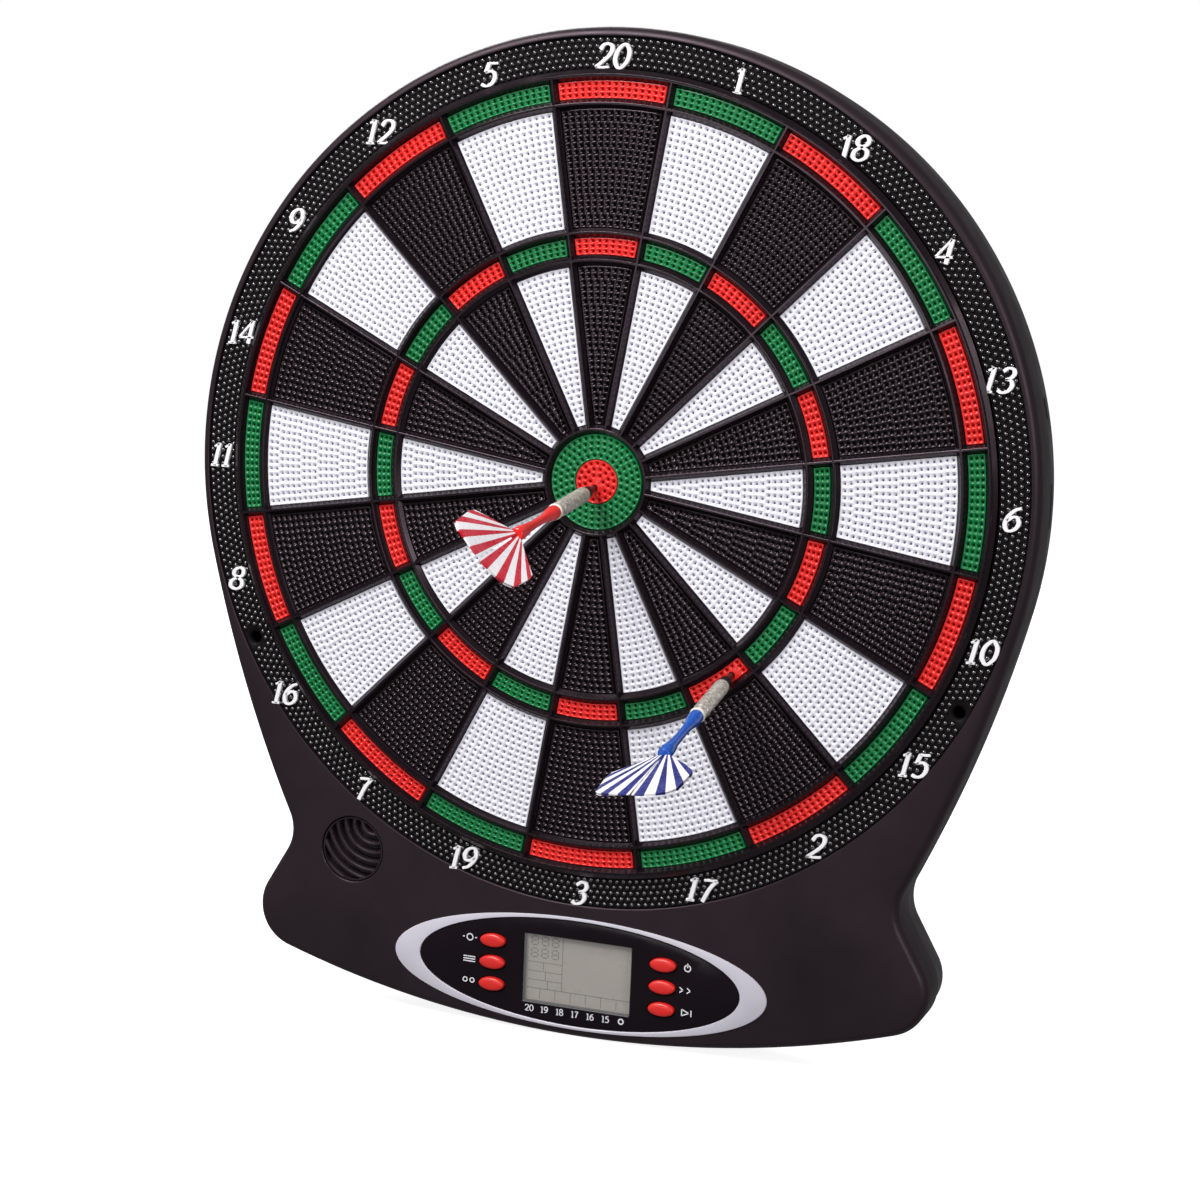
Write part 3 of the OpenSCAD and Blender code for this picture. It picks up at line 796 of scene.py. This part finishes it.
def spider_web():
    """Ribs between the segments: roof-shaped, mitred where they cross, with a flat crest."""
    s = Solid()
    around = ARC_STEPS * len(NUMBERS)
    angles = SECTOR / 2 - SECTOR / ARC_STEPS * np.arange(around)
    low = max(back_of("spider"), 27)
    crest = [s.loop(r * aim(angles), RIDGE_TOP) for r in RIDGES]
    keel = [s.loop(r * aim(angles), low) for r in RIDGES]
    slope = ((0, SEGMENT_TOP + 0.1), (0.68, RIDGE_TOP - 0.42), (0.74, RIDGE_TOP - 0.05), (0.8, RIDGE_TOP))

    def facets(line, edge, under, outward=False):
        """Slopes from a run of crest points down to an opening's edge, and the flat underneath."""
        start = s.flat(line)
        rows = [s.loop(edge + t * (start - edge), d) for t, d in slope]
        s.skin([under, s.loop(edge, low), *rows, line], outward)

    for k in range(len(NUMBERS)):
        pick = (np.arange(ARC_STEPS + 1) + k * ARC_STEPS) % around
        for j, ring in enumerate(RINGS):
            line = np.concatenate([crest[j + 1][pick], crest[j][pick][::-1]])
            under = np.concatenate([keel[j + 1][pick], keel[j][pick][::-1]])
            facets(line, turn(wedge(*ring, -GAP, ARC_STEPS), -SECTOR * k), under)
    facets(crest[0], (OUTER_BULL[1] + GAP) * aim(angles), keel[0])
    facets(crest[-1], WEB_R * aim(angles), keel[-1], outward=True)
    piece("spider_web", s, JET, slot="jet", smooth=24, stands_for="spider")


STUD = ((1.08, 0), (1.03, 0.4), (0.74, 0.85), (0.28, 1.08))
STUD_PITCH = 3.1
STUD_ROWS = 5


def stud_ring():
    """Catch ring: staggered rows of domes round the target, and the two wall-screw holes."""
    s = Solid()
    n = 240
    r_in, r_out = RIM_R
    sides = ((0, 31.1), (0, STUD_FLOOR))
    back, face = s.tower(sides, lambda i: circle(r_out, n=n))
    rear, edge = s.tower(sides, lambda i: circle(r_in, n=n), outward=False)
    fronts, rears = [edge], [rear]
    for centre in WALL_SCREWS:
        end, mouth = s.tower(((2.6, 31.1), (2.6, STUD_FLOOR - 0.9), (3.4, STUD_FLOOR)),
                             lambda r: circle(r, centre, 24), outward=False)
        fronts.append(mouth)
        rears.append(end)
    around = round(2 * math.pi * (r_in + r_out) / 2 / STUD_PITCH)
    pitch = (r_out - r_in) / STUD_ROWS
    s.mark = 1
    for k in range(STUD_ROWS):
        for j in range(around):
            centre = (r_in + pitch * (k + 0.5)) * aim((j + 0.5 * (k % 2)) * 360 / around)
            if min(math.dist(centre, c) for c in WALL_SCREWS) > 4.9:
                base, top = s.tower([(r, STUD_FLOOR + d) for r, d in STUD], lambda r: circle(r, centre, 10))
                s.lid(top)
                fronts.append(base)
    s.mark = 0
    s.cap(face, fronts)
    s.cap(back, rears, front=False)
    piece("stud_ring", s, [RING_FLOOR, STUDS], slot="jet", smooth=60, stands_for="catch_ring")


# ---- Numerals ----

# Centre lines of the digits in a box 100 units high, as points on smooth curves.
GLYPHS = {
    "0": [[(35, 100), (12, 78), (6, 50), (12, 22), (35, 0), (58, 22), (64, 50), (58, 78), (35, 100)]],
    "1": [[(16, 86), (37, 98)], [(37, 100), (37, 0)], [(19, 0), (55, 0)]],
    "2": [[(8, 76), (18, 95), (36, 100), (56, 90), (60, 70), (50, 48), (28, 24), (6, 3)],
          [(6, 3), (34, 2), (64, 5)]],
    "3": [[(10, 86), (26, 100), (48, 96), (57, 79), (48, 62), (28, 54)],
          [(28, 54), (50, 50), (61, 30), (50, 8), (27, 0), (7, 10)]],
    "4": [[(50, 0), (50, 100)], [(48, 100), (0, 28)], [(0, 27), (70, 27)]],
    "5": [[(60, 98), (40, 96), (20, 97)], [(20, 97), (17, 78), (14, 58)],
          [(14, 58), (36, 64), (56, 52), (61, 30), (50, 8), (28, 0), (7, 8)]],
    "6": [[(56, 96), (32, 86), (12, 60), (7, 30), (18, 6), (36, 0), (56, 12), (62, 34), (50, 55), (32, 58),
          (12, 42)]],
    "7": [[(8, 96), (34, 97), (64, 97)], [(64, 97), (42, 60), (26, 0)]],
    "8": [[(35, 54), (14, 66), (13, 87), (35, 100), (56, 87), (55, 66), (35, 54), (10, 38), (9, 13),
          (35, 0), (61, 13), (60, 38), (35, 54)]],
    "9": [[(58, 58), (38, 42), (18, 45), (8, 66), (14, 88), (34, 100), (52, 94), (62, 70), (57, 40),
          (38, 14), (14, 4)]],
}
ADVANCE = {"1": 0.54}
WIDTH = 0.77


def smooth_line(points, n=8):
    """Curve through the points, sampled n times between each two."""
    p = np.array(points, float)
    if len(p) < 3:
        return p
    closed = np.allclose(p[0], p[-1])
    before = p[-2] if closed else 2 * p[0] - p[1]
    after = p[1] if closed else 2 * p[-1] - p[-2]
    q = np.concatenate([[before], p, [after]])
    line = []
    for a, b, c, d in zip(q, q[1:], q[2:], q[3:]):
        for t in np.arange(n) / n:
            line.append(0.5 * (2 * b + (c - a) * t + (2 * a - 5 * b + 4 * c - d) * t**2
                               + (3 * b - 3 * c + d - a) * t**3))
    return np.array(line + [p[-1]])


def stroke(s, line, thick, thin, back, front):
    """Raised stroke along a line: broad where upright, fine where level or straight and slanting."""
    ahead = np.gradient(line, axis=0)
    ahead /= np.linalg.norm(ahead, axis=1, keepdims=True)
    slanting = len(line) == 2 and 0.1 < abs(ahead[0, 1]) < 0.9
    broad = 0 if slanting else np.abs(ahead[:, 1]) ** 1.5
    half = (0.5 * (thin + (thick - thin) * broad) * np.ones(len(line)))[:, None]
    side = np.stack([-ahead[:, 1], ahead[:, 0]], -1)
    bevel = min(0.16, thin * 0.25)

    def edge(inset):
        left, right = line + side * (half - inset), line - side * (half - inset)
        return np.concatenate([right, left[::-1]])

    n = len(line)
    low, high = s.tower(((0, back), (0, front - bevel), (bevel, front)), edge)
    for level, step in ((high, 1), (low, -1)):
        right, left = level[:n], level[n:][::-1]
        s.add([(right[i], right[i + 1], left[i + 1], left[i])[::step] for i in range(n - 1)])


def numerals(s, text, centre, height, thick, thin, back, front, slant=0.0):
    """Adds a number's strokes, centred on a point."""
    x = -sum(ADVANCE.get(c, WIDTH) for c in text) / 2
    for c in text:
        shift = x - 0.1 if c == "1" else x + 0.03
        for points in GLYPHS[c]:
            line = smooth_line(points) / 100
            flat = np.stack([line[:, 0] + shift + slant * (line[:, 1] - 0.5), line[:, 1] - 0.5], -1)
            stroke(s, flat * height + centre, thick, thin, back, front)
        x += ADVANCE.get(c, WIDTH)


def dial_numbers():
    """White numbers standing upright on the stud ring."""
    for k, number in enumerate(NUMBERS):
        s = Solid()
        centre = 180 * aim(SECTOR * k) - (0, 1.4)
        numerals(s, str(number), centre, 10.0, 1.9, 1.0, STUD_FLOOR - 0.2, STUD_FLOOR + 1.6, slant=0.24)
        piece(f"numeral_{number:02d}", s, NUMERAL, slot="white_segment")


# ---- Console ----

def console_trim():
    s = Solid()
    top = TRIM_TOP
    rear, face = s.tower(((0, FACE + 0.02), (0, top - 0.3), (0.12, top - 0.1), (0.4, top)),
                         lambda i: ellipse(TRIM[0] - i, TRIM[1] - i))
    rear_hole, hole = s.tower(((0.3, FACE + 0.02), (0.3, top - 0.25), (0.55, top)),
                              lambda i: ellipse(PANEL[0] + i, PANEL[1] + i), outward=False)
    s.cap(face, [hole])
    s.cap(rear, [rear_hole], front=False)
    piece("console_surround", s, TRIM_PAINT, slot="trim", stands_for="console_trim")


def button_centre(side, row):
    return side * BUTTON_X, CONSOLE_Z + BUTTON_PITCH * (1 - row)


def display_loop(grow):
    w, h = DISPLAY[0] / 2 + grow, DISPLAY[1] / 2 + grow
    return box_loop(-w, w, CONSOLE_Z - h, CONSOLE_Z + h, 0.5)


def console_panel():
    s = Solid()
    base = 33.4
    back, face = s.tower(((0, base), (0, PANEL_TOP - 0.4), (0.12, PANEL_TOP - 0.12), (0.4, PANEL_TOP)),
                         lambda i: ellipse(PANEL[0] - i, PANEL[1] - i))
    fronts, rears = [], []
    for place in BUTTONS.values():
        tube(s, lambda i, c=button_centre(*place): ellipse(BUTTON[0] + 0.4 - i, BUTTON[1] + 0.4 - i, c, 48),
             (fronts, rears), PANEL_TOP, base)
    tube(s, lambda i: display_loop(-i), (fronts, rears), PANEL_TOP, base)
    s.cap(face, fronts)
    s.cap(back, rears, front=False)
    piece("console_face", s, PANEL_BLACK, slot="console_black", stands_for="console_panel")


def soft_buttons():
    """Oval domed buttons with a skirt under the panel."""
    for name, place in BUTTONS.items():
        centre = button_centre(*place)
        top = front_of(name)
        s = Solid()
        profile = ((-1.2, 29.75), (-1.2, 30.6), (0, 30.7), (0, top - 1.1), (0.14, top - 0.6),
                   (0.5, top - 0.25), (1.1, top - 0.06), (2.0, top + 0.04), (2.9, top + 0.08))
        rear, dome = s.tower(profile, lambda i: ellipse(BUTTON[0] - i, BUTTON[1] - i, centre, 48))
        s.lid(rear, front=False)
        s.lid(dome)
        piece(name + "_cap", s, BUTTON_RED, name, "button", smooth=50, stands_for=name)


def bar(s, x0, z0, x1, z1, wide, back, front):
    """Flat printed line between two points."""
    start, end = np.array((x0, z0)), np.array((x1, z1))
    ahead = (end - start) / np.linalg.norm(end - start)
    side = np.array([-ahead[1], ahead[0]]) * wide / 2
    corners = [start - side, end - side, end + side, start + side]
    low, high = s.tower(((0, back), (0, front)), lambda i: corners)
    s.lid(high)
    s.lid(low, front=False)


def panel_marks():
    """Printed numbers under the display, and plain picture marks beside the buttons."""
    s = Solid()
    back, front = PANEL_TOP - 0.05, PANEL_TOP + 0.06
    step = DISPLAY[0] / 7
    low = CONSOLE_Z - DISPLAY[1] / 2 - 2.9
    for k, number in enumerate((20, 19, 18, 17, 16, 15)):
        numerals(s, str(number), (step * (k - 3), low), 2.8, 0.62, 0.5, back, front)
    hoop(s, (step * 3, low), 1.4, 0.6, back, front)
    for side, row in BUTTONS.values():
        x, z = button_centre(side, row)
        mark(s, (x + side * 11.2, z), side, row, back, front)
    piece("console_marks", s, PANEL_INK, slot="white_segment", smooth=30)


def hoop(s, centre, r, wide, back, front):
    """Printed ring."""
    corners = ((r, back), (r, front), (r - wide, front), (r - wide, back))
    loops = [s.loop(circle(q, centre, 32), d) for q, d in corners]
    s.skin([*loops, loops[0]])


MARK_SIZE = 1.3
MARK_LINE = 0.5


def mark(s, centre, side, row, back, front):
    """Plain mark for one button: a different simple sign in each place."""
    centre = np.array(centre)

    def line(x0, z0, x1, z1):
        ends = (centre + MARK_SIZE * np.array(((x0, z0), (x1, z1)))).ravel()
        bar(s, *ends, MARK_LINE, back, front)

    def ring(x, z, r):
        hoop(s, centre + MARK_SIZE * np.array((x, z)), MARK_SIZE * r, MARK_LINE, back, front)

    if row == 0 and side < 0:
        ring(0, 0, 1.3)
        for k in (-1, 1):
            line(2.25 * k - 0.35, 0, 2.25 * k + 0.35, 0)
    elif row == 1 and side < 0:
        for k in (-1, 0, 1):
            line(-2.2, 0.85 * k, 2.2, 0.85 * k)
    elif row == 2 and side < 0:
        ring(-1.3, 0.2, 0.95)
        ring(1.3, 0.2, 0.95)
    elif row == 0:
        ring(0, 0, 1.25)
        line(0, 0.2, 0, 1.7)
    elif row == 1:
        for k in (-1.3, 1.3):
            line(k - 1.2, -0.9, k, 0)
            line(k, 0, k - 1.2, 0.9)
    else:
        line(-1.4, -1.1, -1.4, 1.1)
        line(-1.4, 1.1, 1.1, 0)
        line(1.1, 0, -1.4, -1.1)
        line(1.9, -1.1, 1.9, 1.1)


LCD_BITS = ((0.15, 1.0, 0.85, 1.0), (0.0, 0.92, 0.0, 0.56), (1.0, 0.92, 1.0, 0.56), (0.15, 0.5, 0.85, 0.5),
            (0.0, 0.44, 0.0, 0.08), (1.0, 0.44, 1.0, 0.08), (0.15, 0.0, 0.85, 0.0))


def lcd():
    """Liquid crystal glass with its faint unlit cells."""
    s = Solid()
    back, front = back_of("display_glass"), front_of("display_glass")
    rear, face = s.tower(((2, back), (2, front - 0.2), (1.8, front)), display_loop)
    s.cap(rear, front=False)
    s.cap(face)
    piece("lcd_plate", s, LCD, slot="display", stands_for="display_glass")

    g = Solid()
    left, top = -DISPLAY[0] / 2, CONSOLE_Z + DISPLAY[1] / 2
    split, floor_z = left + 0.345 * DISPLAY[0], top - 0.82 * DISPLAY[1]

    def line(x0, z0, x1, z1, wide=0.3):
        bar(g, x0, z0, x1, z1, wide, front - 0.05, front + 0.04)

    line(split, top - 0.8, split, floor_z, 0.34)
    line(left + 0.6, floor_z, -left - 0.8, floor_z, 0.34)
    for k in range(1, 7):
        x = left + DISPLAY[0] / 7 * k
        line(x, floor_z, x, floor_z - 4.6)
    for row in range(2):
        for column in range(3):
            x, z = left + 2.6 + 4.9 * column, top - 5.6 - 5.6 * row
            for x0, z0, x1, z1 in LCD_BITS:
                line(x + 3 * x0, z + 4 * z0, x + 3 * x1, z + 4 * z1, 0.5)
    for k, z in enumerate((top - 13.4, top - 17.6, top - 21.6)):
        line(left + 1.2, z, split, z)
        x = left + 8.5 + 1.1 * k
        line(x, z, x, z - 3.8)
    piece("lcd_cells", g, LCD_GHOST, slot="display")


# ---- Darts ----

def dart_place(tip, droop):
    """Frame of a dart whose point is at the origin and whose tail runs towards -Y."""
    a = math.radians(droop)
    deep = SEGMENT_TOP - BITE * math.cos(a)
    origin = Vector((tip[0], -deep, tip[1] + BITE * math.sin(a))) * MM
    return Matrix.Translation(origin) @ Matrix.Rotation(a, 4, "X")


def knurl(far, around):
    """Diamond knurling, in height above the barrel."""
    start = far - TIP_LEN
    fade = min(1, max(0, min(start - 1.6, BARREL_LEN - 2.2 - start)) / 0.5)
    a = np.abs(np.sin(np.pi * (10 * around + start / 1.8)))
    b = np.abs(np.sin(np.pi * (10 * around - start / 1.8)))
    return 0.26 * fade * np.minimum(a, b)


def barrel_profile():
    """Radius along the barrel, with plain ends and three turned grooves."""
    for far in np.arange(TIP_LEN, TIP_LEN + BARREL_LEN + 0.01, 0.3):
        start = far - TIP_LEN
        end = BARREL_LEN - start
        r = 3.15 - 0.5 * max(0, 1 - start / 1.2) - 0.15 * max(0, 1 - end / 0.6)
        for groove in (2.4, 17, 30.4):
            if abs(start - groove) < 0.4:
                r -= 0.25
        yield far, r


def vane(s, angle, thick):
    """One thin vane of a flight, swept slightly along its width."""
    rows, columns = 26, 10
    v = np.linspace(0, 1, rows)
    width = np.interp(v, (0, 0.04, 0.36, 0.47, 0.85, 0.93, 1),
                      (2.4, 4.2, FLIGHT_W - 1, FLIGHT_W, FLIGHT_W - 1, FLIGHT_W - 4.5, 3))
    grids = []
    for face in (-1, 1):
        numbers = []
        for t, w in zip(v, width):
            u = np.linspace(0.4, w, columns)
            bow = 0.54 * np.sin(math.pi * np.minimum(u / FLIGHT_W, 1)) * t
            flat = turn(np.stack([bow + face * thick / 2, u], -1), angle)
            numbers.append(s.loop(flat, FLIGHT_START + FLIGHT_LEN * t))
        grids.append(np.array(numbers))
    rear, top = grids
    for a, b, c, d in ((rear[:-1, :-1], rear[:-1, 1:], rear[1:, 1:], rear[1:, :-1]),
                       (top[:-1, :-1], top[1:, :-1], top[1:, 1:], top[:-1, 1:]),
                       (rear[:-1, 0], top[:-1, 0], top[1:, 0], rear[1:, 0]),
                       (rear[1:, -1], top[1:, -1], top[:-1, -1], rear[:-1, -1]),
                       (rear[0, 1:], top[0, 1:], top[0, :-1], rear[0, :-1]),
                       (rear[-1, :-1], top[-1, :-1], top[-1, 1:], rear[-1, 1:])):
        s.add(zip(a.ravel(), b.ravel(), c.ravel(), d.ravel()))


def darts():
    start = TIP_LEN + BARREL_LEN
    point = ((0, 0.3), (0.3, 0.5), (BITE, 1.05), (11, 1.5), (14.4, 1.85), (14.7, 2.3), (15.1, 2.6),
             (18.5, 2.7), (TIP_LEN - 0.02, 2.5))
    collar = ((0.02, 2.6), (0.1, 3.3), (0.6, 3.45), (1.3, 3.3), (1.5, 3.0))
    stem = ((1.52, 2.6), (1.7, 2.95), (4, 3.1), (7, 2.85), (12, 2.1), (16, 1.85), (24, 1.8), (30, 2.0),
            (35, 2.6), (38, 2.9), (SHAFT_LEN - 1, 2.9), (SHAFT_LEN - 0.3, 2.7), (SHAFT_LEN, 2.3))
    collar, stem = ([(start + along, r) for along, r in profile] for profile in (collar, stem))
    paints = {"red": (RED_SHAFT, RED_FILM), "blue": (BLUE_SHAFT, BLUE_FILM)}
    for colour, (tip, droop, wings) in DARTS.items():
        body = colour + "_dart"
        shaft_paint, film = paints[colour]
        vanes = Solid()
        for wing in wings:
            for lean in (-1.7, 1.7):
                vane(vanes, wing + lean, 0.3)
        parts = (("point", lathe(point, 28), NYLON, "dart_tip", 35, "_tip"),
                 ("grip", lathe(barrel_profile(), 72, knurl), NICKEL, "nickel", 60, "_barrel"),
                 ("collar", lathe(collar, 40), BRIGHT, "nickel", 35, None),
                 ("stem", lathe(stem, 36), shaft_paint, colour + "_shaft", 35, "_shaft"),
                 ("vanes", vanes, film, colour + "_flight", 40, "_flight"))
        for name, solid, finish, slot, smooth, node in parts:
            place = dart_place(tip, droop)
            piece(f"{body}_{name}", solid, finish, body, slot, smooth, place, node and body + node)


# ---- Carried-over nodes ----

def finish_inner_parts():
    """Finishes for the parts that keep their CAD shape."""
    finishes = {SILICONE: ("silicone_pad", "keypad_mat"), FILM: ("switch_membrane", "membrane_tail"),
                HARDBOARD: ("backing_plate",), WINDOW: ("display_window",), JET: ("display_frame",),
                BOARD: ("main_board",), CELL: ("battery_cells",), LEAD: ("speaker_leads",),
                STEEL: ("speaker", "battery_contacts", "plate_screws", "board_screws")}
    for finish, nodes in finishes.items():
        for name in nodes:
            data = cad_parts[name].data
            data.materials.clear()
            data.materials.append(finish)


# ---- Stage ----

def floor():
    s = Solid()
    reach = 4000
    corners = ((-reach, -reach), (reach, -reach), (reach, reach), (-reach, reach))
    s.add([s.place([(x, y, -DROP) for x, y in corners])])
    obj = put("floor", s.mesh("floor"))
    obj.data.materials.append(white_paper("floor_paper"))
    obj.visible_diffuse = False
    obj.visible_glossy = False


def lamp(name, place, target, size, power):
    data = bpy.data.lights.new(name, "AREA")
    data.shape = "RECTANGLE"
    data.size, data.size_y = size
    data.energy = power
    obj = put(name, data)
    obj.location = place
    obj.rotation_euler = (Vector(target) - Vector(place)).to_track_quat("-Z", "Y").to_euler()


def studio():
    """White surroundings, a large soft key from the upper left and weaker fills."""
    world = bpy.data.worlds.new("studio")
    bpy.context.scene.world = world
    world.use_nodes = True
    nodes, link = world.node_tree.nodes, world.node_tree.links.new
    seen = nodes["Background"]
    lit = nodes.new("ShaderNodeBackground")
    for background, colour, strength in ((seen, (1, 1, 1, 1), 1.0), (lit, (0.98, 0.98, 1, 1), 0.22)):
        background.inputs["Color"].default_value = colour
        background.inputs["Strength"].default_value = strength
    path = nodes.new("ShaderNodeLightPath")
    mix = nodes.new("ShaderNodeMixShader")
    link(path.outputs["Is Camera Ray"], mix.inputs[0])
    link(lit.outputs[0], mix.inputs[1])
    link(seen.outputs[0], mix.inputs[2])
    link(mix.outputs[0], nodes["World Output"].inputs["Surface"])
    centre = (0, 0, -0.03)
    lamp("front", (-0.28, -1.35, 0.07), (0.05, 0, 0.05), (0.36, 0.36), 1.5)
    lamp("key", (-0.5, -1.4, 1.3), centre, (0.7, 0.5), 27)
    lamp("top", (-0.45, -0.5, 0.85), (-0.05, 0, 0.1), (0.45, 0.3), 7)
    lamp("side", (1.5, -1.1, 0.5), centre, (0.7, 1.0), 12)
    lamp("rear", (-0.9, 1.4, 0.9), centre, (1.0, 0.8), 16)
    bpy.context.scene.view_settings.view_transform = "Standard"


def camera():
    """View from the player's right and a little above, with a slight roll."""
    azimuth, tilt, roll = (math.radians(a) for a in (20.0, 90 - 8.927, 2.3385))
    turned = Matrix.Rotation(azimuth, 4, "Z") @ Matrix.Rotation(tilt, 4, "X") @ Matrix.Rotation(roll, 4, "Z")
    data = bpy.data.cameras.new("camera")
    data.lens = 78.57
    obj = put("camera", data)
    target, distance = (-0.00932, 0, -0.05677), (0, 0, 1.1647)
    obj.matrix_world = Matrix.Translation(target) @ turned @ Matrix.Translation(distance)
    bpy.context.scene.camera = obj


camera()
studio()
floor()
front_housing()
speaker_grille()
rear_cover()
case_screws()
battery_door()
target_segments()
bull("outer_bull", *OUTER_BULL, 4, GREEN_SEG, "green_segment")
bull("inner_bull", 0, BULL_R, 3, RED_SEG, "red_segment", DARTS["red"][0])
spider_web()
stud_ring()
dial_numbers()
console_trim()
console_panel()
soft_buttons()
panel_marks()
lcd()
darts()
finish_inner_parts()
